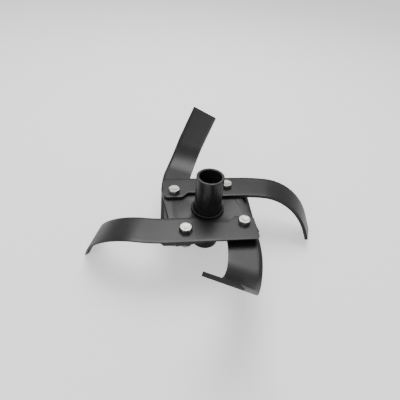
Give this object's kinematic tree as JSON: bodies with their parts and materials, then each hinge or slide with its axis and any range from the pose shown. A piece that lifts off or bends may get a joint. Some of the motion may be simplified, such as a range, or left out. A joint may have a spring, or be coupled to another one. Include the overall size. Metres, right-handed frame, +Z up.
{
  "type": "rotary tiller blade",
  "caption": "Tiller rotor: a round hub tube welded through a square plate, with curved strip blades bolted on in a pinwheel, some turned up and some turned down.",
  "frame": {"origin": "on the hub tube's axis, at the middle of the plate's thickness and of the tube's length", "axes": "+Z up the hub tube, away from the side on which the bolts carry their nuts; +X and +Y square to the plate's edges"},
  "size_m": [0.3004, 0.3128, 0.1158],
  "materials": {
    "black_paint": "semi-gloss black enamel over steel",
    "zinc_plate": "bright zinc plate"
  },
  "bodies": {
    "root": {"hub_tube": "black_paint", "hub_plate": "black_paint", "weld_bead_upper": "black_paint", "weld_bead_lower": "black_paint", "blade_right": "black_paint", "blade_back": "black_paint", "blade_left": "black_paint", "blade_front": "black_paint", "bolt_back_right": "zinc_plate", "spring_washer_back_right": "zinc_plate", "nut_back_right": "zinc_plate", "bolt_back_left": "zinc_plate", "spring_washer_back_left": "zinc_plate", "nut_back_left": "zinc_plate", "bolt_front_left": "zinc_plate", "spring_washer_front_left": "zinc_plate", "nut_front_left": "zinc_plate", "bolt_front_right": "zinc_plate", "spring_washer_front_right": "zinc_plate", "nut_front_right": "zinc_plate"}
  },
  "joints": []
}
